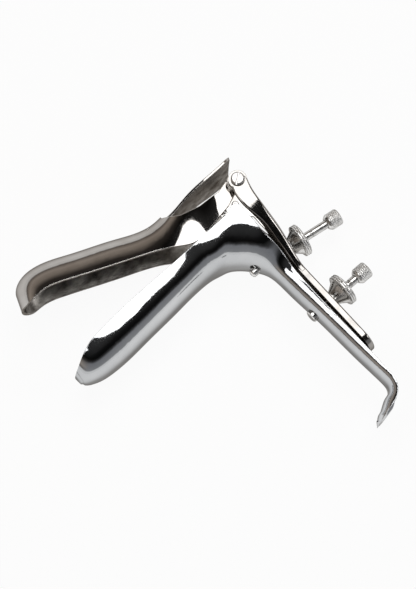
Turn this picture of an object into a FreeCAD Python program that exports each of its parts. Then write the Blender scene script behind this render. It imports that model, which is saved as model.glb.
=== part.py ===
import FreeCAD, Part
import math
import os

os.makedirs("parts", exist_ok=True)
doc = FreeCAD.newDocument("speculum")
V = FreeCAD.Vector

# Frame: hinge axis along Z, blades toward -X, handle toward -Y, screws toward +X.
SIZES = [
    ("midPlane", 23.3, "height of the plane of symmetry above the face it rests on"),
    ("sheetThick", 1.3, "stamped sheet of both blades"),
    ("bladeOpen", 22.0, "degrees the upper blade is raised in the rest pose"),
    ("lugRadius", 4.4, "round end of each yoke arm"),
    ("lugInner", 19.0, "inner face of the yoke lugs from the plane of symmetry"),
    ("lugThick", 2.6, "thickness of the yoke lugs"),
    ("earInner", 16.9, "inner face of the upper blade's ears"),
    ("earThick", 1.8, "thickness of the ears"),
    ("earRadius", 4.8, "round end of the ears"),
    ("pivotRadius", 1.7, "shank of the pivot screws"),
    ("runFit", 0.04, "radial play of the turning and sliding fits"),
    ("pivotHeadRadius", 3.2, "pivot screw head"),
    ("pivotHeadThick", 1.7, "pivot screw head"),
    ("slotWide", 0.8, "screwdriver slots"),
    ("slotDeep", 0.7, "screwdriver slots"),
    ("stemFront", -4.7, "front face of the yoke stem"),
    ("stemThick", 3.0, "thickness of the yoke stem"),
    ("stemHalf", 7.8, "half width of the yoke stem"),
    ("stemEnd", -98.0, "lower end of the yoke stem"),
    ("slideTravel", 22.0, "lift of the yoke along the handle"),
    ("postRadius", 2.0, "threaded posts"),
    ("postPlay", 0.08, "play of the posts in the slots, each side"),
    ("heightAxis", -67.6, "height post along the handle"),
    ("heightHeadRadius", 3.0, "slotted head at the front of the handle"),
    ("collarRadius", 3.4, "shoulder of the height post inside the channel"),
    ("guideAxis", -34.0, "guide pin along the handle"),
    ("guideRadius", 1.6, "guide pin"),
    ("guideHeadRadius", 2.2, "domed head of the guide pin"),
    ("angleTilt", 8.0, "degrees the angle post droops from the X axis"),
    ("angleX", 0.8, "angle post seat"),
    ("angleY", -33.9, "angle post seat"),
    ("angleZ", -8.5, "angle post seat from the plane of symmetry"),
    ("seatRadius", 4.2, "flat seat under the angle post"),
    ("leverThick", 1.4, "sheet of the thumb lever"),
    ("leverGap", 0.2, "lever tab to the seat in the rest pose"),
    ("nutGap", 0.15, "nut to the lever tab in the rest pose"),
    ("hubRadius", 3.4, "end of the nut hub"),
    ("hubWaist", 4.6, "nut hub where the cone starts"),
    ("coneRadius", 6.6, "nut cone under the disc"),
    ("hubLength", 5.3, "hub and cone together"),
    ("discRadius", 8.1, "knurled nut disc"),
    ("discThick", 3.3, "knurled nut disc"),
    ("capRadius", 4.2, "knurled stop cap"),
    ("capLength", 7.4, "knurled stop cap"),
    ("capNeck", 1.4, "cone at the inner end of the cap"),
    ("angleStop", 23.4, "seat to the stop cap on the angle post"),
    ("heightStop", 14.1, "stop cap on the height post, from the hinge plane"),
    ("washerThick", 0.7, "washer under the height nut"),
    ("washerRadius", 5.0, "washer under the height nut"),
    ("grooveDeep", 0.4, "groove turned in the posts"),
    ("rivetRadius", 1.2, "lever rivets"),
    ("rivetHead", 1.9, "lever rivet heads"),
]

sheet = doc.addObject("Spreadsheet::Sheet", "sizes")
for row, (alias, value, note) in enumerate(SIZES, start=1):
    sheet.set("A%d" % row, note)
    sheet.set("B%d" % row, str(value))
    sheet.setAlias("B%d" % row, alias)
doc.recompute()
size = {alias: float(sheet.get(alias)) for alias, value, note in SIZES}


def keep(label, shape):
    """A named sub-part holding a finished shape."""
    part = doc.addObject("Part::Feature", label)
    part.Shape = shape
    part.Placement = FreeCAD.Placement()
    part.setExpression("Placement.Base.z", "sizes.midPlane")
    return part


def sweep(profile, axisPoint, axisDirection):
    """Closed outline of (distance along the axis, radius) pairs turned about an axis."""
    side = axisDirection.cross(V(0, 0.6, 0.8)).normalize()
    corners = [axisPoint + axisDirection * along + side * radius for along, radius in profile]
    face = Part.Face(Part.makePolygon(corners + [corners[0]]))
    return face.revolve(axisPoint, axisDirection, 360)


def turn(profile, axisPoint, axisDirection):
    """Turned piece without a bore."""
    return sweep([(profile[0][0], 0)] + profile + [(profile[-1][0], 0)], axisPoint, axisDirection)


def rod(start, end, radius):
    along = end.sub(start)
    return Part.makeCylinder(radius, along.Length, start, along)


def spline(points):
    curve = Part.BSplineCurve()
    curve.interpolate(points)
    return curve.toShape()


def prism(edges, low, high):
    """Flat outline in the XY plane drawn up between two heights."""
    face = Part.Face(Part.Wire(edges))
    face.translate(V(0, 0, low))
    return face.extrude(V(0, 0, high - low))


def polygonEdges(points):
    corners = [V(x, y, 0) for x, y in points]
    return Part.makePolygon(corners + [corners[0]]).Edges


def ring(origin, outward, lidAt, bottomAt, half, power):
    """Half-oval section: flat lid on one side, rounded bottom on the other."""
    count = 16
    points = []
    for step in range(count + 1):
        turnAngle = math.pi * (step / count - 0.5)
        side = math.copysign(abs(math.sin(turnAngle)) ** (2 / power), math.sin(turnAngle))
        depth = max(math.cos(turnAngle), 0.0) ** (2 / power)
        reach = lidAt - (lidAt - bottomAt) * depth
        points.append(origin + outward * reach + V(0, 0, half * side))
    lid = Part.makeLine(points[-1], points[0])
    return Part.Wire([spline(points), lid])


def loft(wires):
    return Part.makeLoft(wires, True, False, False, 3)


def nose(tip, length, half, rise):
    """Rounded end of a trough: place, half width, rise of the floor and lean of the wall."""
    out = []
    for angle in (86, 78, 66, 52, 35, 12):
        part = math.sin(math.radians(angle))
        wide = half * (1 - part ** 2.5) ** 0.4
        lift = rise * (1 - math.sqrt(1 - part * part))
        out.append((tip + length * (1 - part), wide, lift, part ** 4))
    return out


def lowerStations():
    """Sections from the blade tip round the bend and down to the end of the lip.

    Each holds a point, the way out to the open side, lid, bottom, half width,
    corner power and how far the wall of the closed end leans (1 = square on).
    """
    up, back = V(0, 1, 0), V(1, 0, 0)
    out = []
    for x, half, rise, lean in nose(-115.0, 18.0, 16.0, 6.6):
        out.append((V(x, 0, 0), up, -4.0, rise - 26.9, half, 2.9, lean, back))
    for x, bottom, half in [(-84.0, -26.4, 16.1), (-66.0, -25.0, 16.0), (-52.0, -23.8, 16.2), (-43.0, -23.2, 16.7)]:
        out.append((V(x, 0, 0), up, -4.0, bottom, half, 3.0, 0, back))
    bend = V(-34.0, -41.0, 0)
    fan = [(90, 37.0, 17.6, 18.1, 3.2), (72, 40.0, 17.3, 19.4, 3.2), (52, 50.0, 17.0, 20.4, 3.0),
           (34, 42.0, 17.2, 19.4, 2.8), (18, 35.0, 18.0, 15.6, 2.8), (5, 33.0, 19.0, 11.8, 3.0)]
    for angle, lid, bottom, half, power in fan:
        way = V(math.cos(math.radians(angle)), math.sin(math.radians(angle)), 0)
        out.append((bend, way, lid, bottom, half, power, 0, back))
    handle = [(-50.0, -13.9, 10.0), (-66.0, -12.8, 9.8), (-90.0, -11.6, 9.8), (-108.0, -10.5, 9.8)]
    for y, front, half in handle:
        out.append((V(0, y, 0), back, 0.0, front, half, 3.2, 0, back))
    curl = V(-15.3, -114.0, 0)
    for angle in (-4, -26, -47, -67):
        way = V(math.cos(math.radians(angle)), math.sin(math.radians(angle)), 0)
        out.append((curl, way, 13.5, 5.0, 9.8, 3.1, 0, back))
    way = V(math.cos(math.radians(-67)), math.sin(math.radians(-67)), 0)
    along = V(way.y, -way.x, 0)
    for x, half, rise, lean in reversed(nose(0.0, 10.5, 9.7, 1.6)):
        out.append((curl + along * (14.2 - x), way, 13.5, 5.0 + rise, half, 3.0, lean, along * -1))
    return out


def lowerHull(inset):
    wires = []
    for origin, way, lid, bottom, half, power, lean, inward in lowerStations():
        shifted = origin + inward * (inset * lean)
        lift = inset * (1 - 0.35 * lean)
        extra = 1.0 if inset else 0.0
        wires.append(ring(shifted, way, lid + extra, bottom + lift, half - inset, power))
    return loft(wires)


def aboveLowerRim():
    """Everything on the open side of the rim, as one thick slab."""
    bladeRim = [(-122, -17.9), (-115.2, -17.6), (-112, -16.7), (-108.6, -15.2), (-105, -13.7),
                (-100.5, -12.3), (-94, -11.5), (-85, -10.6), (-60, -9.7), (-36, -9.3), (-15, -9.0)]
    handleRim = [(-7.2, -26), (-6.3, -31), (-5.7, -37), (-6.4, -46), (-6.8, -60), (-6.5, -90), (-6.4, -112)]
    first = spline([V(x, y, 0) for x, y in bladeRim])
    last = spline([V(x, y, 0) for x, y in handleRim])
    wingTop = Part.Arc(V(-11.2, -7.6, 0), V(-8.3, -8.0, 0), V(-7.2, -10.6, 0)).toShape()
    slope = Part.makeLine(V(-15, -9.0, 0), V(-11.2, -7.6, 0))
    rear = Part.makeLine(V(-7.2, -10.6, 0), V(-7.2, -26, 0))
    curl = Part.Arc(V(-6.4, -112, 0), V(-8.2, -119.5, 0), V(-13.2, -123.6, 0)).toShape()
    around = [V(-13.2, -123.6, 0), V(-36, -128.9, 0), V(-36, -160, 0), V(40, -160, 0), V(40, 30, 0),
              V(-122, 30, 0), V(-122, -17.9, 0)]
    outside = [curl] + Part.makePolygon(around).Edges
    return prism([first, slope, wingTop, rear, last] + outside, -40, 40)


def makeLowerBlade():
    shell = lowerHull(0).cut(lowerHull(size["sheetThick"]))
    shell = shell.cut(aboveLowerRim())
    hole = size["postRadius"] + size["runFit"]
    shell = shell.cut(rod(V(-20, size["heightAxis"], 0), V(-8, size["heightAxis"], 0), hole))
    pin = size["guideRadius"] + size["runFit"]
    shell = shell.cut(rod(V(-30, size["guideAxis"], 0), V(-10, size["guideAxis"], 0), pin))
    return keep("lower_blade", max(shell.Solids, key=lambda piece: piece.Volume))


def upperStations():
    """Sections of the upper trough with the blade lying level; it opens downward."""
    rows = [(x, -2.6 - rise, half, 2.2, lean) for x, half, rise, lean in nose(-113.3, 18.0, 13.8, 11.5)]
    rows += [(-82.0, -2.6, 13.8, 2.2, 0), (-64.0, -2.7, 13.6, 2.2, 0), (-46.0, -2.6, 13.5, 2.3, 0),
             (-37.0, 0.4, 14.0, 3.0, 0), (-27.0, 4.6, 14.7, 4.5, 0), (-17.0, 8.2, 16.9, 7.0, 0),
             (-9.0, 11.0, 18.5, 8.0, 0), (6.0, 15.6, 18.7, 8.0, 0)]
    return rows


def upperHull(inset):
    wires = []
    for x, crown, half, power, lean in upperStations():
        shifted = V(x + inset * lean, 0, 0)
        lift = inset * (1 - 0.35 * lean)
        lid = 30.0 + (1.0 if inset else 0.0)
        wires.append(ring(shifted, V(0, -1, 0), lid, lift - crown, half - inset, power))
    return loft(wires)


def belowUpperRim():
    rim = [(-120, -22.6), (-112.6, -21.6), (-108, -20.9), (-103.5, -18.9), (-98.5, -17.5),
           (-90, -17.1), (-74, -17.4), (-59, -17.5), (-48, -17.6), (-38, -18.7), (-29, -20.2),
           (-18.3, -16.2), (-8.0, -10.0)]
    edge = spline([V(x, y, 0) for x, y in rim])
    corners = [(-8.0, -10.0), (-2.0, -4.3), (40, -4.3), (40, -60), (-120, -60), (-120, -22.6)]
    around = Part.makePolygon([V(x, y, 0) for x, y in corners])
    return prism([edge] + around.Edges, -40, 40)


def hoodSection(x, crown, half, drop, thick):
    """Arched slice of the hood; drop is how far its sides hang below the crown."""
    outer = []
    inner = []
    for step in range(9):
        side = step / 4 - 1
        outer.append(V(x, crown - drop * side * side, half * side))
        inner.append(V(x, crown - drop * side * side - thick, half * side))
    left = Part.makeLine(outer[-1], inner[-1])
    right = Part.makeLine(inner[0], outer[0])
    return Part.Wire([spline(outer), left, spline(inner[::-1]), right])


def makeUpperBlade():
    thick = size["sheetThick"]
    shell = upperHull(0).cut(upperHull(thick)).cut(belowUpperRim())
    # the sides are split from the hood from the crown down to the ears
    wingTop = polygonEdges([(-38.0, -2.2), (-30.0, -5.2), (-20.0, -4.6), (-10.0, -2.0), (-3.0, 3.8),
                            (40, 12), (40, 40), (-38.0, 40)])
    sides = shell.cut(prism(wingTop, -40, 40))
    trim = polygonEdges([(0, -40), (40, -40), (40, 40), (0, 40)])
    sides = sides.cut(prism(trim, -40, 40))
    hood = loft([hoodSection(-46.0, -2.75, 6.5, 1.6, thick), hoodSection(-40.0, -2.35, 7.5, 1.9, thick),
                 hoodSection(-35.0, -0.8, 9.0, 1.9, thick), hoodSection(-28.0, 2.4, 11.4, 1.5, thick),
                 hoodSection(-14.0, 8.3, 15.0, 1.0, thick), hoodSection(1.0, 14.6, 17.0, 0.8, thick)])
    corner = 5.0
    plan = Part.makeBox(60, 60, 60, V(-60 + 1.0 - corner, -30, -30))
    for side in (-1, 1):
        plan = plan.fuse(Part.makeCylinder(corner, 60, V(1.0 - corner, -30, side * (16.9 - corner)), V(0, 1, 0)))
    plan = plan.fuse(Part.makeBox(corner, 60, 2 * (16.9 - corner), V(1.0 - corner, -30, corner - 16.9)))
    blade = sides.fuse(hood.common(plan))
    for side in (-1, 1):
        low = size["earInner"] if side > 0 else -size["earInner"] - size["earThick"]
        blade = blade.fuse(Part.makeCylinder(size["earRadius"], size["earThick"], V(0, 0, low)))
    hole = size["pivotRadius"] + size["runFit"]
    blade = blade.cut(Part.makeCylinder(hole, 60, V(0, 0, -30)))
    blade = blade.cut(Part.makeCylinder(5.4, 2 * size["earInner"], V(0, 0, -size["earInner"])))
    for x, y in rivetSpots():
        blade = blade.cut(rod(V(x, y, -30), V(x, y, 0), size["rivetRadius"]))
    part = keep("upper_blade", max(blade.Solids, key=lambda piece: piece.Volume))
    part.Placement = FreeCAD.Placement(V(0, 0, 0), FreeCAD.Rotation(V(0, 0, -1), 20))
    part.setExpression("Placement.Rotation.Angle", "sizes.bladeOpen * 1 deg")
    opened = part.Shape.copy()
    opened.Placement = FreeCAD.Placement(V(0, 0, 0), FreeCAD.Rotation(V(0, 0, -1), size["bladeOpen"]))
    return opened


def rivetSpots():
    return [(-6.8, -1.2), (-6.6, -5.2)]


def barSection(y, xLow, xHigh, zLow, zHigh):
    """Rounded rectangle across a yoke arm."""
    round_ = 0.3 * min(xHigh - xLow, zHigh - zLow)
    rect = Part.makePolygon([V(xLow, y, zLow), V(xHigh, y, zLow), V(xHigh, y, zHigh),
                             V(xLow, y, zHigh), V(xLow, y, zLow)])
    corners = [(xLow, zLow, 1, 1), (xHigh, zLow, -1, 1), (xHigh, zHigh, -1, -1), (xLow, zHigh, 1, -1)]
    edges = []
    for index, (x, z, inX, inZ) in enumerate(corners):
        nextX, nextZ, nextInX, nextInZ = corners[(index + 1) % 4]
        if index % 2 == 0:
            start = V(x + inX * round_, y, z)
            end = V(nextX + nextInX * round_, y, nextZ)
        else:
            start = V(x, y, z + inZ * round_)
            end = V(nextX, y, nextZ + nextInZ * round_)
        edges.append(Part.makeLine(start, end))
        if index % 2 == 0:
            after = V(nextX, y, nextZ + nextInZ * round_)
        else:
            after = V(nextX + nextInX * round_, y, nextZ)
        middle = V(nextX + nextInX * round_ * 0.293, y, nextZ + nextInZ * round_ * 0.293)
        edges.append(Part.Arc(end, middle, after).toShape())
    return Part.Wire(edges)


def yokeArm():
    lug = size["lugInner"]
    outer = lug + size["lugThick"]
    rows = [(-0.5, -4.2, 4.2, lug, outer), (-5.0, -5.6, 2.9, lug, outer), (-10.0, -5.9, 1.9, 18.2, 21.0),
            (-16.0, -5.1, 1.5, 16.2, 19.7), (-22.0, -4.2, 1.4, 12.2, 17.6), (-28.0, -4.1, 1.1, 5.0, 15.3),
            (-35.0, -4.3, 0.1, -0.6, 12.8), (-43.0, -4.6, -1.2, -0.6, 9.6), (-50.0, -4.65, -1.7, -0.6, 7.9)]
    arm = loft([barSection(*row) for row in rows])
    return arm.fuse(Part.makeCylinder(size["lugRadius"], size["lugThick"], V(0, 0, lug)))


def slotCut(top, bottom, half):
    """Straight slot with round ends through the stem."""
    start = V(-12, 0, 0)
    cut = Part.makeBox(24, top - bottom - 2 * half, 2 * half, V(-12, bottom + half, -half))
    for y in (top - half, bottom + half):
        cut = cut.fuse(Part.makeCylinder(half, 24, V(start.x, y, 0), V(1, 0, 0)))
    return cut


def makeYoke():
    front = size["stemFront"]
    thick = size["stemThick"]
    half = size["stemHalf"]
    end = size["stemEnd"]
    arm = yokeArm()
    yoke = arm.fuse(arm.mirror(V(0, 0, 0), V(0, 0, 1)))
    stem = Part.makeBox(thick, -48.0 - end - half, 2 * half, V(front, end + half, -half))
    foot = Part.makeCylinder(half, thick, V(front, end + half, 0), V(1, 0, 0))
    stem = stem.fuse(foot).removeSplitter()
    rear = [edge for edge in stem.Edges if abs(edge.CenterOfMass.x - front - thick) < 1e-3
            and edge.CenterOfMass.y < -49]
    stem = stem.makeFillet(0.8, rear)
    seat = angleFrame()
    boss = turn([(-2.6, size["seatRadius"]), (0, size["seatRadius"])], seat[0], seat[1])
    yoke = yoke.fuse(stem).fuse(boss)
    postSlot = size["postRadius"] + size["postPlay"]
    top = size["heightAxis"] + postSlot + 0.1
    yoke = yoke.cut(slotCut(top, top - 2 * postSlot - size["slideTravel"] - 0.4, postSlot))
    pinSlot = size["guideRadius"] + size["postPlay"]
    top = size["guideAxis"] + pinSlot + 0.1
    yoke = yoke.cut(slotCut(top, top - 2 * pinSlot - size["slideTravel"] - 0.4, pinSlot))
    yoke = yoke.cut(Part.makeCylinder(size["pivotRadius"] + 0.01, 60, V(0, 0, -30)))
    # flat seats for the pivot heads
    face = size["lugInner"] + size["lugThick"]
    for low in (face, -face - 6):
        yoke = yoke.cut(Part.makeCylinder(size["pivotHeadRadius"] + 0.25, 6, V(0, 0, low)))
    yoke = yoke.cut(rod(seat[0] - seat[1] * 8, seat[0] + seat[1] * 2, size["postRadius"] * 0.8 + 0.01))
    return keep("yoke_frame", yoke.removeSplitter())


def angleFrame():
    tilt = math.radians(size["angleTilt"])
    return V(size["angleX"], size["angleY"], size["angleZ"]), V(math.cos(tilt), -math.sin(tilt), 0)


def leverPoint(back, down):
    """Point of the lever given along the angle post and down from the hinge."""
    axis = angleFrame()[1]
    return (axis.x * back + axis.y * down, axis.y * back - axis.x * down)


def makeLever(bladeShape):
    thick = size["leverThick"]
    seat, axis = angleFrame()
    seatBack = seat.x * axis.x + seat.y * axis.y
    postDown = -(seat.y * axis.x - seat.x * axis.y)
    front = seatBack + size["leverGap"]
    outer = -size["earInner"]
    radius = size["earRadius"]
    cheek = [(-7.6, 3.6), (-9.9, -2.4), (-9.2, -4.6), (-6.5, -6.2), (-1.0, -6.4), (2.6, -10.2)]
    cheek += [leverPoint(front - 0.25, 22), leverPoint(front, postDown + 8)]
    cheek += [leverPoint(front + thick, postDown + 8), leverPoint(front + thick + 2.6, 20), (8.2, -13)]
    cheek += [(6.5, -5.0), (radius * 0.8, radius * 0.6)]
    angles = [60, 90, 120]
    cheek += [(radius * math.cos(math.radians(a)), radius * math.sin(math.radians(a))) for a in angles]
    plate = prism(polygonEdges(cheek), outer, outer + thick)
    tabEdges = polygonEdges([leverPoint(front, 26.5), leverPoint(front + thick, 26.5),
                             leverPoint(front + thick, postDown + 9.6), leverPoint(front, postDown + 9.6)])
    tab = prism(tabEdges, outer, -3.4)
    slot = size["postRadius"] + 0.35
    low = V(*leverPoint(front - 3, postDown + 0.05), size["angleZ"])
    high = V(*leverPoint(front - 3, postDown + 5.2), size["angleZ"])
    for point in (low, high):
        tab = tab.cut(Part.makeCylinder(slot, 9, point, axis))
    opening = polygonEdges([leverPoint(front - 3, postDown + 0.05), leverPoint(front + 6, postDown + 0.05),
                            leverPoint(front + 6, postDown + 5.2), leverPoint(front - 3, postDown + 5.2)])
    tab = tab.cut(prism(opening, size["angleZ"] - slot, size["angleZ"] + slot))
    lever = plate.fuse(tab).removeSplitter()
    lever = lever.cut(Part.makeCylinder(size["pivotRadius"] + size["runFit"], 60, V(0, 0, -30)))
    turned = FreeCAD.Rotation(V(0, 0, 1), -size["bladeOpen"])
    for x, y in rivetSpots():
        spot = turned.multVec(V(x, y, 0))
        lever = lever.cut(rod(spot + V(0, 0, -30), spot, size["rivetRadius"]))
    # the cheek is dressed to sit against the inside of the wing
    lever = lever.cut(bladeShape)
    return keep("thumb_lever", max(lever.Solids, key=lambda piece: piece.Volume))


def makeRivets():
    turned = FreeCAD.Rotation(V(0, 0, 1), -size["bladeOpen"])
    outer = -size["earInner"] - size["earThick"]
    inner = -size["earInner"] + size["leverThick"]
    solids = []
    for x, y in rivetSpots():
        spot = turned.multVec(V(x, y, 0))
        head = size["rivetHead"]
        shank = size["rivetRadius"]
        profile = [(outer, shank), (inner, shank), (inner, head), (inner + 0.5, head * 0.8), (inner + 0.8, head * 0.4)]
        solids.append(turn(profile, spot, V(0, 0, 1)))
    return keep("lever_rivets", Part.makeCompound(solids))


def makePivotScrew(label, side):
    lug = size["lugInner"] + size["lugThick"]
    head = size["pivotHeadRadius"]
    shank = size["pivotRadius"]
    tip = size["earInner"] - (size["leverThick"] if side < 0 else 0) - 0.6
    profile = [(tip, shank - 0.3), (tip + 0.3, shank), (lug, shank), (lug, head),
               (lug + size["pivotHeadThick"] - 0.5, head), (lug + size["pivotHeadThick"], head - 0.6)]
    screw = turn(profile, V(0, 0, 0), V(0, 0, side))
    if side < 0:
        return keep(label, screw)
    top = lug + size["pivotHeadThick"]
    wide = size["slotWide"]
    slot = Part.makeBox(2 * head + 2, wide, size["slotDeep"], V(-head - 1, -wide / 2, top - size["slotDeep"]))
    slot.rotate(V(0, 0, 0), V(0, 0, 1), 35)
    return keep(label, screw.cut(slot))


def postProfile(start, end, grooveAt):
    radius = size["postRadius"]
    deep = size["grooveDeep"]
    return [(start, radius), (grooveAt, radius), (grooveAt + 0.3, radius - deep),
            (grooveAt + 0.9, radius - deep), (grooveAt + 1.2, radius), (end, radius)]


def makeAnglePost():
    seat, axis = angleFrame()
    thin = size["postRadius"] * 0.8
    profile = [(-4.4, thin), (0, thin)] + postProfile(0, size["angleStop"] + 5.6, 14.2)
    return keep("angle_post", turn(profile, seat, axis))


def makeHeightPost(shellShape):
    axis = V(1, 0, 0)
    radius = size["postRadius"]
    head = size["heightHeadRadius"]
    centre = V(0, size["heightAxis"], 0)
    rim = [(-14.3, head - 0.5), (-13.9, head), (-12.2, head), (-12.2, radius), (-11.2, radius),
           (-11.2, size["collarRadius"]), (size["stemFront"] - 0.05, size["collarRadius"])]
    profile = rim + postProfile(size["stemFront"] - 0.05, size["heightStop"] + 5.6, 9.6)
    post = turn(profile, centre, axis).cut(shellShape)
    slot = Part.makeBox(size["slotDeep"], size["slotWide"], 2 * head + 2,
                        V(-14.3, size["heightAxis"] - size["slotWide"] / 2, -head - 1))
    slot.rotate(centre, V(1, 0, 0), 62)
    return keep("height_post", max(post.cut(slot).Solids, key=lambda piece: piece.Volume))


def makeGuidePin(shellShape):
    centre = V(0, size["guideAxis"], 0)
    shank = size["guideRadius"]
    head = size["guideHeadRadius"]
    profile = [(-21.2, head * 0.35), (-20.8, head * 0.8), (-20.2, head), (-18.0, head), (-18.0, shank),
               (1.4, shank), (1.4, shank + 0.9), (2.2, shank + 0.9), (2.6, shank + 0.4)]
    pin = turn(profile, centre, V(1, 0, 0)).cut(shellShape)
    return keep("guide_pin", max(pin.Solids, key=lambda piece: piece.Volume))


def nutProfile(start):
    hub = size["hubRadius"]
    waist = start + 0.36 * size["hubLength"]
    disc = start + size["hubLength"]
    end = disc + size["discThick"]
    edge = size["discRadius"]
    bore = size["postRadius"] + size["runFit"]
    return [(start, bore), (start, hub), (waist, size["hubWaist"]), (disc, size["coneRadius"]),
            (disc, edge - 0.4), (disc + 0.4, edge), (end - 0.4, edge), (end, edge - 0.4),
            (end, size["hubWaist"]), (end + 0.25, size["hubWaist"] - 0.3), (end + 0.25, bore)]


def capProfile(start):
    bore = size["postRadius"]
    edge = size["capRadius"]
    end = start + size["capLength"]
    return [(start, bore), (start, bore + 0.8), (start + size["capNeck"], edge), (end - 0.4, edge),
            (end, edge - 0.4), (end, 0), (start + 5.6, 0), (start + 5.6, bore)]


def makeScrewSets():
    seat, axis = angleFrame()
    start = size["leverGap"] + size["leverThick"] + size["nutGap"]
    keep("angle_nut", sweep(nutProfile(start), seat, axis))
    keep("angle_stop_cap", sweep(capProfile(size["angleStop"]), seat, axis))
    centre = V(0, size["heightAxis"], 0)
    back = size["stemFront"] + size["stemThick"]
    bore = size["postRadius"] + size["runFit"]
    thick = size["washerThick"]
    gap = 0.05
    washer = [(back + gap, bore), (back + gap, size["washerRadius"]),
              (back + gap + thick, size["washerRadius"]), (back + gap + thick, bore)]
    keep("height_washer", sweep(washer, centre, V(1, 0, 0)))
    keep("height_nut", sweep(nutProfile(back + gap + thick), centre, V(1, 0, 0)))
    keep("height_stop_cap", sweep(capProfile(size["heightStop"]), centre, V(1, 0, 0)))


lower = makeLowerBlade()
bladeHull = lower.Shape.copy()
bladeHull.Placement = FreeCAD.Placement()
openedBlade = makeUpperBlade()
makeYoke()
makeLever(openedBlade)
makeRivets()
makePivotScrew("pivot_screw_left", 1)
makePivotScrew("pivot_pin_right", -1)
makeAnglePost()
makeHeightPost(bladeHull)
makeGuidePin(bladeHull)
makeScrewSets()
doc.recompute()

for part in doc.Objects:
    if part.TypeId == "Spreadsheet::Sheet":
        continue
    bad = [word for word in ("Invalid", "Error") if word in part.State]
    if bad or part.Shape.isNull() or not part.Shape.isValid():
        raise ValueError("%s is not a sound shape: %s" % (part.Label, bad))
    part.Shape.exportStep("parts/%s.step" % part.Label)
    print(part.Label, len(part.Shape.Solids), round(part.Shape.Volume, 1), part.Shape.BoundBox)
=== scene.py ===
import math

import bpy
from mathutils import Matrix, Vector


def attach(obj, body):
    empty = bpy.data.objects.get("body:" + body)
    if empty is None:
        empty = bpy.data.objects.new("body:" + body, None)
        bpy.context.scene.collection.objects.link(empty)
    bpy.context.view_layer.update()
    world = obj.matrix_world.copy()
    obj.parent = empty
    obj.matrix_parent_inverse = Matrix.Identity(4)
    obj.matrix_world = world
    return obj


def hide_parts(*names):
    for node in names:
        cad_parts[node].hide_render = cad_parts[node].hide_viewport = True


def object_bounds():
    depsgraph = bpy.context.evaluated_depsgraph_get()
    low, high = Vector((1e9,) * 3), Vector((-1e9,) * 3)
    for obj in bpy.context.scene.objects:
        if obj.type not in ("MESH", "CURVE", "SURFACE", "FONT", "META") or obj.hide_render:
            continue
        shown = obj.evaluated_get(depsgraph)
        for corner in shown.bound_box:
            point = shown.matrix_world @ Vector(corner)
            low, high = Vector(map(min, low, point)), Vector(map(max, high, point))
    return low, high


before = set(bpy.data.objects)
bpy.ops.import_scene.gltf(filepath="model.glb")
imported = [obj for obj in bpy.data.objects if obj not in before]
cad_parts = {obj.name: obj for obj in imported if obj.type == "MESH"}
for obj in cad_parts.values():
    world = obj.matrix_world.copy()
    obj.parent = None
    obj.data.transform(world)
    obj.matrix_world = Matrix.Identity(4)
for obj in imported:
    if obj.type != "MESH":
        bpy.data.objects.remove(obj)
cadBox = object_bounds()
midPlane = 0.0233  # height of the speculum's plane of symmetry above the floor


# Small helpers

def hexColour(text):
    channels = [int(text[i:i + 2], 16) / 255 for i in (1, 3, 5)]
    linear = [c / 12.92 if c <= 0.04045 else ((c + 0.055) / 1.055) ** 2.4 for c in channels]
    return (*linear, 1.0)


def addNode(tree, kind, links=None, values=None, **settings):
    node = tree.nodes.new(kind)
    for name, value in settings.items():
        setattr(node, name, value)
    for socket, value in (values or {}).items():
        node.inputs[socket].default_value = value
    for socket, source in (links or {}).items():
        tree.links.new(source, node.inputs[socket])
    return node


def emptyMaterial(name):
    material = bpy.data.materials.new(name)
    material.use_nodes = True
    material.node_tree.nodes.clear()
    return material, material.node_tree


def addRamp(tree, source, stops):
    ramp = addNode(tree, "ShaderNodeValToRGB", {"Fac": source})
    marks = ramp.color_ramp.elements
    while len(marks) < len(stops):
        marks.new(0.5)
    for mark, (place, colour) in zip(marks, stops):
        mark.position = place
        mark.color = hexColour(colour)
    return ramp.outputs["Color"]


def objectNoise(tree, size, stretch=(1, 1, 1), detail=3.0, roughness=0.55):
    coords = addNode(tree, "ShaderNodeTexCoord")
    mapping = addNode(tree, "ShaderNodeMapping", {"Vector": coords.outputs["Object"]},
                      {"Scale": stretch})
    noise = addNode(tree, "ShaderNodeTexNoise", {"Vector": mapping.outputs["Vector"]},
                    {"Scale": 1 / size, "Detail": detail, "Roughness": roughness})
    return noise.outputs["Fac"]


def mapped(tree, source, low, high):
    node = addNode(tree, "ShaderNodeMapRange", {"Value": source},
                   {"From Min": 0.3, "From Max": 0.7, "To Min": low, "To Max": high})
    return node.outputs["Result"]


# Steels. Sizes are in metres, and the colours are the metal's own reflectance, apart from the painted shade
# on the blades' insides and on the upper blade's outside.

edgeTint = "#8f8c89"  # how dark polished steel mirrors at a grazing angle
machinedEdge = 0.0003  # rounding of turned and milled edges, in the shading alone
sideBlend = 0.0012  # how softly the outside finish gives way to the inside one
lipBlend = 0.004


def steel(name, look):
    material, tree = emptyMaterial(name)
    cloud = objectNoise(tree, look["cloudSize"], detail=4.0)
    colour = addRamp(tree, cloud, [(0.32, look["dark"]), (0.66, look["light"])])
    grain = objectNoise(tree, look["grainSize"], look["grainStretch"], 2.0)
    rough = mapped(tree, grain, look["smoothest"], look["roughest"])
    edge = addNode(tree, "ShaderNodeBevel", values={"Radius": machinedEdge}, samples=6)
    bump = addNode(tree, "ShaderNodeBump", {"Height": grain, "Normal": edge.outputs["Normal"]},
                   {"Strength": look["bump"], "Distance": look["bumpDepth"]})
    shader = addNode(tree, "ShaderNodeBsdfPrincipled",
                     {"Base Color": colour, "Roughness": rough, "Normal": bump.outputs["Normal"]},
                     {"Metallic": 1.0, "Specular Tint": hexColour(edgeTint)})
    out = addNode(tree, "ShaderNodeOutputMaterial")
    tree.links.new(shader.outputs["BSDF"], out.inputs["Surface"])
    return material


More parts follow.
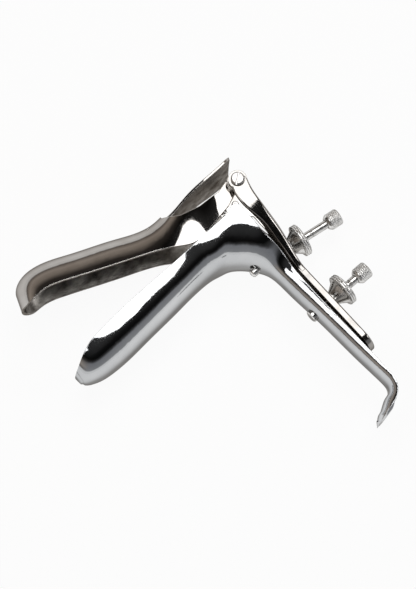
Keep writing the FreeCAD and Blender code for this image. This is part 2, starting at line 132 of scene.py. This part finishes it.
def bladeSteel(name, centre, outer, inner, lipFrom):
    # the outside is where the surface faces away from the centre, and all of the lip below lipFrom
    material, tree = emptyMaterial(name)
    coords = addNode(tree, "ShaderNodeTexCoord")
    away = addNode(tree, "ShaderNodeVectorMath", {0: coords.outputs["Object"]}, {1: centre},
                   operation="SUBTRACT")
    facing = addNode(tree, "ShaderNodeVectorMath",
                     {0: away.outputs["Vector"], 1: coords.outputs["Normal"]},
                     operation="DOT_PRODUCT")
    outerSide = addNode(tree, "ShaderNodeMapRange", {"Value": facing.outputs["Value"]},
                         {"From Min": -sideBlend, "From Max": sideBlend}).outputs["Result"]
    place = addNode(tree, "ShaderNodeSeparateXYZ", {"Vector": coords.outputs["Object"]}).outputs
    lip = addNode(tree, "ShaderNodeMapRange", {"Value": place["Y"]},
                  {"From Min": lipFrom, "From Max": lipFrom - lipBlend}).outputs["Result"]
    outside = addNode(tree, "ShaderNodeMath", {0: outerSide, 1: lip}, operation="MAXIMUM").outputs[0]
    cloud = objectNoise(tree, outer["cloudSize"], detail=4.0)
    mottle = objectNoise(tree, inner["cloudSize"], (1, 1.6, 1.6), 6.0, 0.62)
    outerColour = addRamp(tree, cloud, [(0.3, outer["dark"]), (0.66, outer["light"])])
    # the inside's mottle and roughness are the satin finish, and its darker colours are painted shade in the
    # blade's hollow
    innerColour = addRamp(tree, mottle, [(0.36, inner["dark"]), (0.5, inner["middle"]),
                                         (0.68, inner["light"])])
    colour = addNode(tree, "ShaderNodeMix", {"Factor": outside}, data_type="RGBA")
    tree.links.new(innerColour, colour.inputs[6])
    tree.links.new(outerColour, colour.inputs[7])
    wave = objectNoise(tree, outer["cloudSize"], detail=0.0)
    wipes = objectNoise(tree, outer["grainSize"], outer["grainStretch"], 3.0)
    blast = objectNoise(tree, inner["grainSize"], (1, 1, 1), 2.0)
    outerRough = mapped(tree, wipes, outer["smoothest"], outer["roughest"])
    innerRough = mapped(tree, mottle, inner["smoothest"], inner["roughest"])
    rough = addNode(tree, "ShaderNodeMix", {"Factor": outside}, data_type="FLOAT")
    tree.links.new(innerRough, rough.inputs[2])
    tree.links.new(outerRough, rough.inputs[3])
    edge = addNode(tree, "ShaderNodeBevel", values={"Radius": outer["edgeRound"]}, samples=6)
    outerBump = addNode(tree, "ShaderNodeBump", {"Height": wave, "Normal": edge.outputs["Normal"]},
                        {"Strength": outer["bump"], "Distance": outer["bumpDepth"]})
    innerBump = addNode(tree, "ShaderNodeBump", {"Height": blast, "Normal": edge.outputs["Normal"]},
                        {"Strength": inner["bump"], "Distance": inner["bumpDepth"]})
    normal = addNode(tree, "ShaderNodeMix", {"Factor": outside}, data_type="VECTOR")
    tree.links.new(innerBump.outputs["Normal"], normal.inputs[4])
    tree.links.new(outerBump.outputs["Normal"], normal.inputs[5])
    shader = addNode(tree, "ShaderNodeBsdfPrincipled",
                     {"Base Color": colour.outputs[2], "Roughness": rough.outputs[0],
                      "Normal": normal.outputs[1]},
                     {"Metallic": 1.0, "Specular Tint": hexColour(edgeTint)})
    out = addNode(tree, "ShaderNodeOutputMaterial")
    tree.links.new(shader.outputs["BSDF"], out.inputs["Surface"])
    return material


mirrorLook = {"dark": "#b7b9bb", "light": "#cfd0d1", "cloudSize": 0.030, "grainSize": 0.004,
              "grainStretch": (0.3, 1, 1), "smoothest": 0.03, "roughest": 0.09,
              "bump": 0.2, "bumpDepth": 0.0006, "edgeRound": 0.0006}
# satin roughness and mottle for the blades' insides, with colours darkened as painted shade
satinAndPaintedShadeLook = {"dark": "#76726e", "middle": "#97938e", "light": "#bcb8b3", "cloudSize": 0.006,
             "grainSize": 0.0007, "smoothest": 0.26, "roughest": 0.44,
             "bump": 0.35, "bumpDepth": 0.00015}
# the same mirror steel as the lower blade, with darker, warmer colours that are painted shade and reflection
upperPaintedShadeLook = dict(mirrorLook, dark="#a39e99", light="#c2bfbc")

# Stainless sheet, pressed and mirror-buffed outside, tumbled satin inside, where the darker colour is
# painted shade in the hollow of the blade
lowerSteel = bladeSteel("mirror_buffed_stainless_lower", (-0.006, -0.009, midPlane),
                        mirrorLook, satinAndPaintedShadeLook, lipFrom=-0.104)
upperSteel = bladeSteel("mirror_buffed_stainless_upper", (-0.0121, -0.0167, midPlane),
                        upperPaintedShadeLook, satinAndPaintedShadeLook, lipFrom=-1.0)  # it has no lip
# Stainless bar, machined, then buffed along its length
yokeSteel = steel("buffed_stainless_bar", {
    "dark": "#8c8986", "light": "#b1aeaa", "cloudSize": 0.012, "grainSize": 0.0012,
    "grainStretch": (1, 0.12, 1), "smoothest": 0.05, "roughest": 0.14, "bump": 0.12, "bumpDepth": 0.0001})
# Stainless turned on a lathe, with its fine rings left on
turnedSteel = steel("turned_stainless", {
    "dark": "#c4c3c1", "light": "#e4e3e1", "cloudSize": 0.004, "grainSize": 0.0006,
    "grainStretch": (1, 1, 1), "smoothest": 0.1, "roughest": 0.24, "bump": 0.1, "bumpDepth": 0.00004})
# Stainless screw heads, turned and buffed
screwSteel = steel("buffed_screw_head_stainless", {
    "dark": "#9a9795", "light": "#bebcba", "cloudSize": 0.0016, "grainSize": 0.0005,
    "grainStretch": (1, 1, 1), "smoothest": 0.1, "roughest": 0.22, "bump": 0.2, "bumpDepth": 0.00005})
# Knurled and electropolished stainless
knurledSteel = steel("knurled_stainless", {
    "dark": "#cdccca", "light": "#ecebe9", "cloudSize": 0.003, "grainSize": 0.0005,
    "grainStretch": (1, 1, 1), "smoothest": 0.12, "roughest": 0.28, "bump": 0.15, "bumpDepth": 0.00004})
# Stainless sheet, blanked and bent, tumbled
leverSteel = steel("tumbled_stainless_sheet", {
    "dark": "#a3a09c", "light": "#c9c7c4", "cloudSize": 0.006, "grainSize": 0.0008,
    "grainStretch": (1, 1, 1), "smoothest": 0.14, "roughest": 0.28, "bump": 0.2, "bumpDepth": 0.00005})
print("materials ready")

nodeSteel = {
    "lower_blade": lowerSteel, "upper_blade": upperSteel, "yoke_frame": yokeSteel,
    "thumb_lever": leverSteel, "lever_rivets": turnedSteel, "pivot_screw_left": screwSteel,
    "pivot_pin_right": screwSteel, "angle_post": turnedSteel, "height_post": turnedSteel,
    "height_washer": turnedSteel, "guide_pin": turnedSteel, "angle_nut": knurledSteel,
    "height_nut": knurledSteel, "angle_stop_cap": knurledSteel, "height_stop_cap": knurledSteel,
}
for nodeName, finish in nodeSteel.items():
    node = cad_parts[nodeName]
    if not node.material_slots:
        node.data.materials.append(finish)
    for holder in node.material_slots:
        holder.material = finish


# The lower blade, with the end of its nose dressed to a true spoon shape (mm, from the hinge axis)

noseValues = {"tip": -115.0, "length": 18.0, "half": 16.0, "rise": 6.6, "lid": -4.0, "bottom": -26.9,
              "power": 2.9, "from": -107.0, "reach": 6.0, "skin": -0.05, "halvings": 24}


def noseExcess(x, y, z):
    # above zero outside the nose, below zero inside it
    v = noseValues
    part = min(max(1 - (x - v["tip"]) / v["length"], 0.0), 0.9995)
    half = v["half"] * (1 - part ** 2.5) ** 0.4
    deep = v["lid"] - v["bottom"] - v["rise"] * (1 - math.sqrt(1 - part * part))
    down = max(v["lid"] - y, 0.0)
    return (abs(z) / half) ** v["power"] + (down / deep) ** v["power"] - 1


def noseNormal(x, y, z):
    step = 0.02
    slope = [noseExcess(x + step, y, z) - noseExcess(x - step, y, z),
             noseExcess(x, y + step, z) - noseExcess(x, y - step, z),
             noseExcess(x, y, z + step) - noseExcess(x, y, z - step)]
    return Vector(slope).normalized()


def makeLowerBlade():
    v = noseValues
    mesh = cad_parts["lower_blade"].data.copy()
    mesh.name = "lower_blade_dressed"
    moved = {}
    for vertex in mesh.vertices:
        x, y, z = vertex.co.x * 1000, vertex.co.y * 1000, (vertex.co.z - midPlane) * 1000
        if x > v["from"] or noseExcess(x, y, z) < v["skin"]:
            continue
        if noseExcess(x, y, z) <= 0:
            moved[vertex.index] = noseNormal(x, y, z)
            continue
        low, high = x, v["from"] + v["reach"]
        for halving in range(v["halvings"]):
            middle = (low + high) / 2
            if noseExcess(middle, y, z) > 0:
                low = middle
            else:
                high = middle
        vertex.co.x = high / 1000
        moved[vertex.index] = noseNormal(high, y, z)
    normals = [moved.get(loop.vertex_index) or corner.vector.copy()
               for loop, corner in zip(mesh.loops, mesh.corner_normals)]
    mesh.normals_split_custom_set(normals)
    piece = bpy.data.objects.new("lower_blade_dressed", mesh)
    bpy.context.scene.collection.objects.link(piece)
    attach(piece, "base")
    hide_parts("lower_blade")
    print("nose points dressed:", len(moved))


makeLowerBlade()


# Geometry node groups: knurl teeth on a rim, and a thread's ridge

def newGroup(name, inputs):
    group = bpy.data.node_groups.new(name, "GeometryNodeTree")
    group.interface.new_socket("Geometry", in_out="INPUT", socket_type="NodeSocketGeometry")
    for label, kind in inputs:
        group.interface.new_socket(label, in_out="INPUT", socket_type="NodeSocket" + kind)
    group.interface.new_socket("Geometry", in_out="OUTPUT", socket_type="NodeSocketGeometry")
    return group, group.nodes.new("NodeGroupInput").outputs


def closeGroup(group, given, made):
    real = addNode(group, "GeometryNodeRealizeInstances", {"Geometry": made})
    coated = addNode(group, "GeometryNodeSetMaterial",
                     {"Geometry": real.outputs["Geometry"], "Material": given["Finish"]})
    both = addNode(group, "GeometryNodeJoinGeometry", {"Geometry": given["Geometry"]})
    group.links.new(coated.outputs["Geometry"], both.inputs["Geometry"])
    out = group.nodes.new("NodeGroupOutput")
    group.links.new(both.outputs["Geometry"], out.inputs["Geometry"])
    return group


def sums(group, operation, first, second):
    node = group.nodes.new("ShaderNodeMath")
    node.operation = operation
    for socket, value in ((0, first), (1, second)):
        if isinstance(value, (int, float)):
            node.inputs[socket].default_value = value
        else:
            group.links.new(value, node.inputs[socket])
    return node.outputs[0]


def knurlGroup():
    group, given = newGroup("knurl_teeth", [
        ("Rim Radius", "Float"), ("Count", "Int"), ("Rows", "Int"), ("First Row", "Float"),
        ("Row Step", "Float"), ("Tooth Radius", "Float"), ("Tooth Height", "Float"), ("Finish", "Material")])
    tooth = addNode(group, "GeometryNodeMeshCone",
                    {"Radius Bottom": given["Tooth Radius"], "Depth": given["Tooth Height"]},
                    {"Vertices": 4, "Radius Top": 0.0})
    circle = addNode(group, "GeometryNodeMeshCircle",
                     {"Vertices": given["Count"], "Radius": given["Rim Radius"]})
    index = group.nodes.new("GeometryNodeInputIndex").outputs["Index"]
    step = sums(group, "DIVIDE", 2 * math.pi, given["Count"])
    turn = addNode(group, "ShaderNodeCombineXYZ", {"Z": sums(group, "MULTIPLY", index, step)},
                   {"Y": math.pi / 2})
    spin = addNode(group, "FunctionNodeEulerToRotation", {"Euler": turn.outputs["Vector"]})
    ring = addNode(group, "GeometryNodeInstanceOnPoints",
                   {"Points": circle.outputs["Mesh"], "Instance": tooth.outputs["Mesh"],
                    "Rotation": spin.outputs["Rotation"]})
    start = addNode(group, "ShaderNodeCombineXYZ", {"Z": given["First Row"]})
    offset = addNode(group, "ShaderNodeCombineXYZ", {"Z": given["Row Step"]})
    rows = addNode(group, "GeometryNodeMeshLine",
                   {"Count": given["Rows"], "Start Location": start.outputs["Vector"],
                    "Offset": offset.outputs["Vector"]})
    half = sums(group, "MULTIPLY", index, sums(group, "MULTIPLY", step, 0.5))
    stagger = addNode(group, "ShaderNodeCombineXYZ", {"Z": half})
    lean = addNode(group, "FunctionNodeEulerToRotation", {"Euler": stagger.outputs["Vector"]})
    stack = addNode(group, "GeometryNodeInstanceOnPoints",
                    {"Points": rows.outputs["Mesh"], "Instance": ring.outputs["Instances"],
                     "Rotation": lean.outputs["Rotation"]})
    return closeGroup(group, given, stack.outputs["Instances"])


def threadGroup():
    group, given = newGroup("thread_ridge", [
        ("Start", "Float"), ("Length", "Float"), ("Pitch", "Float"), ("Core Radius", "Float"),
        ("Ridge", "Float"), ("Finish", "Material")])
    turns = sums(group, "DIVIDE", given["Length"], given["Pitch"])
    spiral = addNode(group, "GeometryNodeCurveSpiral",
                     {"Rotations": turns, "Start Radius": given["Core Radius"],
                      "End Radius": given["Core Radius"], "Height": given["Length"]},
                     {"Resolution": 24})
    profile = addNode(group, "GeometryNodeCurvePrimitiveCircle", {"Radius": given["Ridge"]},
                      {"Resolution": 4})
    swept = addNode(group, "GeometryNodeCurveToMesh",
                    {"Curve": spiral.outputs["Curve"], "Profile Curve": profile.outputs["Curve"]},
                    {"Fill Caps": True})
    lift = addNode(group, "ShaderNodeCombineXYZ", {"Z": given["Start"]})
    moved = addNode(group, "GeometryNodeTransform",
                    {"Geometry": swept.outputs["Mesh"], "Translation": lift.outputs["Vector"]})
    return closeGroup(group, given, moved.outputs["Geometry"])


knurlTeeth = knurlGroup()
threadRidge = threadGroup()


def turnedMesh(name, profile, finish, segments=96):
    # profile: (place along the axis, radius) in mm, a closed outline
    points = []
    for step in range(segments):
        angle = 2 * math.pi * step / segments
        for along, radius in profile:
            points.append((radius * math.cos(angle) / 1000, radius * math.sin(angle) / 1000, along / 1000))
    count = len(profile)
    faces = []
    for step in range(segments):
        after = (step + 1) % segments
        for i in range(count):
            j = (i + 1) % count
            if profile[i][1] == 0 and profile[j][1] == 0:
                continue
            corners = [step * count + i, after * count + i, after * count + j, step * count + j]
            if profile[i][1] == 0:
                corners = [corners[0], corners[2], corners[3]]
            elif profile[j][1] == 0:
                corners = corners[:3]
            faces.append(corners)
    mesh = bpy.data.meshes.new(name)
    mesh.from_pydata(points, [], faces)
    mesh.materials.append(finish)
    mesh.validate()
    return mesh


def eased(profile, size=0.18):
    # each outline corner becomes a small two-point bevel
    out = []
    count = len(profile)
    for i, corner in enumerate(profile):
        here = Vector(corner)
        for other in (Vector(profile[i - 1]), Vector(profile[(i + 1) % count])):
            way = other - here
            if corner[1] == 0 or way.length < 2.2 * size:
                out.append(tuple(here + way * 0.3) if corner[1] else corner)
            else:
                out.append(tuple(here + way.normalized() * size))
    return [p for i, p in enumerate(out) if p != out[i - 1]]


def grown(name, mesh, group, values, place, finish):
    # runs the node group on the mesh and keeps the result as a plain mesh, put in its place
    piece = bpy.data.objects.new(name, mesh)
    bpy.context.scene.collection.objects.link(piece)
    modifier = piece.modifiers.new("grow", "NODES")
    modifier.node_group = group
    sockets = {item.name: item.identifier for item in group.interface.items_tree
               if item.item_type == "SOCKET" and item.in_out == "INPUT"}
    for label, value in dict(values, Finish=finish).items():
        modifier[sockets[label]] = value
    graph = bpy.context.evaluated_depsgraph_get()
    made = bpy.data.meshes.new_from_object(piece.evaluated_get(graph))
    piece.modifiers.clear()
    piece.data = made
    made.name = name
    made.transform(place)
    made.shade_smooth()
    made.set_sharp_from_angle(angle=math.radians(28))
    return piece


def placeAlong(seat, axis):
    turn = Vector(axis).to_track_quat("Z", "Y").to_matrix().to_4x4()
    return Matrix.Translation(Vector(seat)) @ turn


# The two round lock nuts and their closed stop caps

# Radii and lengths in mm. The teeth of a knurl stand on a slightly smaller rim and reach its full radius.
nutValues = {
    "bore": 2.16, "hub": 3.4, "waist": 4.6, "cone": 6.6, "hubLength": 5.3, "rim": 8.1, "rimThick": 3.3,
    "flareSteps": 8, "flarePower": 1.25, "bevel": 0.12, "rowMargin": 0.65,
    "teeth": 72, "rows": 3, "toothHeight": 0.36, "toothRadius": 0.46,
}
capValues = {"bore": 2.0, "edge": 4.2, "length": 7.4, "neck": 1.4, "boreDepth": 5.6, "mouth": 3.25,
             "bevel": 0.1, "firstRow": 0.6, "rowSpare": 1.5,
             "teeth": 38, "rows": 6, "toothHeight": 0.3, "toothRadius": 0.46}
# Shares of the tooth height: how much smaller the rim is, and how tall the tooth is modelled
grooveShare = 0.75
toothShare = 0.9
toothSunk = 0.06  # how deep its foot is in the rim
angleTilt = math.radians(8)
# Where each post starts, its direction, the body it rides on, and places along it in mm
anglePost = {"seat": (0.0008, -0.0339, midPlane - 0.0085),
             "way": (math.cos(angleTilt), -math.sin(angleTilt), 0),
             "body": "yoke", "nut": 1.75, "cap": 23.4, "ridge": (10.9, 23.2)}
heightPost = {"seat": (0, -0.0676, midPlane), "way": (1, 0, 0),
              "body": "base", "nut": -0.95, "cap": 14.1, "ridge": (8.2, 13.9)}


def growKnurl(name, mesh, post, v, low, firstRow, rowStep):
    return grown(name + "_knurled", mesh, knurlTeeth, {
        "Rim Radius": (low - toothSunk) / 1000, "Count": v["teeth"], "Rows": v["rows"],
        "First Row": firstRow / 1000, "Row Step": rowStep / 1000,
        "Tooth Radius": v["toothRadius"] / 1000,
        "Tooth Height": v["toothHeight"] / 1000 * toothShare},
        placeAlong(post["seat"], post["way"]), knurledSteel)


def makeNut(name, post, body):
    v = nutValues
    low = v["rim"] - v["toothHeight"] * grooveShare
    start = post["nut"]
    disc = start + v["hubLength"]
    end = disc + v["rimThick"]
    flare = []
    for i in range(v["flareSteps"] + 1):
        part = i / v["flareSteps"]
        radius = v["hub"] + (v["cone"] - v["hub"]) * part ** v["flarePower"]
        flare.append((start + v["hubLength"] * part, radius))
    profile = eased([(start, v["bore"])] + flare + [
        (disc, low - 0.5), (disc + 0.45, low), (end - 0.45, low), (end, low - 0.5),
        (end, v["waist"]), (end + 0.22, v["waist"] - 0.3), (end + 0.22, v["bore"])], v["bevel"])
    mesh = turnedMesh(name + "_body", profile, knurledSteel, 144)
    rowStep = (v["rimThick"] - 2 * v["rowMargin"]) / (v["rows"] - 1)
    piece = growKnurl(name, mesh, post, v, low, disc + v["rowMargin"], rowStep)
    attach(piece, body)
    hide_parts(name)


def makeCap(name, post):
    v = capValues
    low = v["edge"] - v["toothHeight"] * grooveShare
    start = post["cap"]
    end = start + v["length"]
    floorAt = start + v["boreDepth"]
    profile = eased([(start, v["bore"]), (start, v["bore"] + 0.8), (start + 0.5, v["mouth"]),
                     (start + v["neck"], low), (end - 0.5, low), (end - 0.12, low - 0.35),
                     (end, low - 0.9), (end, 0), (floorAt, 0), (floorAt, v["bore"])], v["bevel"])
    mesh = turnedMesh(name + "_body", profile, knurledSteel, 96)
    rowStep = (v["length"] - v["neck"] - v["rowSpare"]) / (v["rows"] - 1)
    piece = growKnurl(name, mesh, post, v, low, start + v["neck"] + v["firstRow"], rowStep)
    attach(piece, post["body"])
    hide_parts(name)


makeNut("angle_nut", anglePost, "angle_lock")
makeNut("height_nut", heightPost, "height_lock")
makeCap("angle_stop_cap", anglePost)
makeCap("height_stop_cap", heightPost)
print("nuts and caps ready")

# Thread ridges between each nut and its cap, as they stand at rest

threadValues = {"pitch": 0.75, "core": 1.95, "ridge": 0.16}


def makeThread(name, post):
    v = threadValues
    start, end = post["ridge"]
    bare = bpy.data.meshes.new(name)
    bare.materials.append(turnedSteel)
    piece = grown(name, bare, threadRidge, {
        "Start": start / 1000, "Length": (end - start) / 1000, "Pitch": v["pitch"] / 1000,
        "Core Radius": v["core"] / 1000, "Ridge": v["ridge"] / 1000},
        placeAlong(post["seat"], post["way"]), turnedSteel)
    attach(piece, post["body"])


makeThread("angle_thread", anglePost)
makeThread("height_thread", heightPost)
print("threads ready")


# Studio: pale floor, soft lamps, and a room that is pale low down and dark overhead

floorValues = {"side": 4.0, "cells": 8, "below": 0.0002, "glow": 0.93}
# Colours of the room by height of the direction, from level (0) to straight up (1)
roomStops = [(0.12, "#f0f0f0"), (0.2, "#6f6863"), (0.38, "#b0a69d"), (0.52, "#958c84"),
             (0.66, "#3b3734"), (0.8, "#121110"), (1.0, "#3a3a3a")]
handleSideStops = [(0.12, "#f0f0f0"), (0.2, "#9b9c9e"), (0.58, "#8a8b8f"), (0.68, "#3c3c3d"),
                   (0.76, "#101010"), (0.88, "#101010"), (1.0, "#3a3a3a")]
lampValues = {
    "overhead": {"place": (0.17, 0.17, 1.0), "target": (-0.03, -0.03, 0), "side": 0.7, "watts": 4.8},
    "side": {"place": (-0.52, 0.12, 0.95), "target": (0, -0.08, 0.02), "side": 0.42, "watts": 1.3},
    "fill": {"place": (0.55, -0.6, 0.8), "target": (-0.03, -0.03, 0), "side": 0.3, "watts": 1.2},
}
cameraValues = {"lean": 0.2, "roll": math.radians(3.506), "distance": 1.2, "frameWidth": 0.1953,
                "left": 0.01327, "down": 0.04717, "sensor": 36}


def makeFloor():
    v = floorValues
    low = cadBox[0].z - v["below"]
    side, cells = v["side"], v["cells"]
    points = []
    for row in range(cells + 1):
        for column in range(cells + 1):
            points.append((side * (column / cells - 0.5), side * (row / cells - 0.5), low))
    faces = []
    for row in range(cells):
        for column in range(cells):
            corner = row * (cells + 1) + column
            faces.append((corner, corner + 1, corner + cells + 2, corner + cells + 1))
    mesh = bpy.data.meshes.new("floor")
    mesh.from_pydata(points, [], faces)
    material, tree = emptyMaterial("white_studio_paper")
    grain = objectNoise(tree, 0.002)
    paper = addRamp(tree, grain, [(0.3, "#fafafa"), (0.7, "#ffffff")])
    plain = addNode(tree, "ShaderNodeBsdfDiffuse", {"Color": paper})
    glow = addNode(tree, "ShaderNodeEmission", values={"Strength": 1.0})
    rays = tree.nodes.new("ShaderNodeLightPath").outputs
    seen = addNode(tree, "ShaderNodeMath", {0: rays["Is Camera Ray"], 1: rays["Is Glossy Ray"]},
                   operation="MAXIMUM")
    through = addNode(tree, "ShaderNodeMath", {0: seen.outputs[0], 1: rays["Is Transmission Ray"]},
                      operation="MAXIMUM")
    share = addNode(tree, "ShaderNodeMath", {0: through.outputs[0]}, {1: v["glow"]}, operation="MULTIPLY")
    mixed = addNode(tree, "ShaderNodeMixShader",
                    {0: share.outputs[0], 1: plain.outputs["BSDF"], 2: glow.outputs["Emission"]})
    out = addNode(tree, "ShaderNodeOutputMaterial")
    tree.links.new(mixed.outputs["Shader"], out.inputs["Surface"])
    mesh.materials.append(material)
    floor = bpy.data.objects.new("floor", mesh)
    bpy.context.scene.collection.objects.link(floor)


def makeWorld():
    world = bpy.data.worlds.new("studio")
    bpy.context.scene.world = world
    world.use_nodes = True
    tree = world.node_tree
    tree.nodes.clear()
    way = addNode(tree, "ShaderNodeSeparateXYZ",
                  {"Vector": addNode(tree, "ShaderNodeTexCoord").outputs["Generated"]}).outputs
    height = addNode(tree, "ShaderNodeMapRange", {"Value": way["Z"]},
                     {"From Min": 0.0, "From Max": 1.0}).outputs["Result"]
    room = addRamp(tree, height, roomStops)
    near = addRamp(tree, height, handleSideStops)
    side = addNode(tree, "ShaderNodeMapRange", {"Value": way["Y"]},
                   {"From Min": -0.15, "From Max": -0.6}).outputs["Result"]
    both = addNode(tree, "ShaderNodeMix", {"Factor": side}, data_type="RGBA")
    tree.links.new(room, both.inputs[6])
    tree.links.new(near, both.inputs[7])
    light = addNode(tree, "ShaderNodeBackground", {"Color": both.outputs[2]}, {"Strength": 1.0})
    out = addNode(tree, "ShaderNodeOutputWorld")
    tree.links.new(light.outputs["Background"], out.inputs["Surface"])


def makeLamp(name, v):
    lamp = bpy.data.lights.new(name, "AREA")
    lamp.shape = "SQUARE"
    lamp.size = v["side"]
    lamp.energy = v["watts"]
    holder = bpy.data.objects.new(name, lamp)
    bpy.context.scene.collection.objects.link(holder)
    place = Vector(v["place"])
    way = Vector(v["target"]) - place
    turn = way.to_track_quat("-Z", "Y").to_matrix().to_4x4()
    holder.matrix_world = Matrix.Translation(place) @ turn


def makeCamera():
    v = cameraValues
    lean = v["lean"]
    towards = Vector((-lean, -lean, math.sqrt(1 - 2 * lean * lean)))
    level = Vector((0, 0, 1)).cross(towards).normalized()
    right = level * math.cos(v["roll"]) + towards.cross(level) * math.sin(v["roll"])
    up = towards.cross(right)
    target = Vector((0, 0, midPlane)) - right * v["left"] - up * v["down"]
    lens = bpy.data.cameras.new("camera")
    lens.sensor_fit = "HORIZONTAL"
    lens.sensor_width = v["sensor"]
    lens.lens = v["sensor"] * v["distance"] / v["frameWidth"]
    lens.clip_end = 20
    camera = bpy.data.objects.new("camera", lens)
    bpy.context.scene.collection.objects.link(camera)
    turn = Matrix((right, up, towards)).transposed().to_4x4()
    camera.matrix_world = Matrix.Translation(target + towards * v["distance"]) @ turn
    bpy.context.scene.camera = camera


makeFloor()
makeWorld()
for lampName, lampValue in lampValues.items():
    makeLamp(lampName, lampValue)
makeCamera()
bpy.context.scene.view_settings.view_transform = "Standard"
print("studio ready")
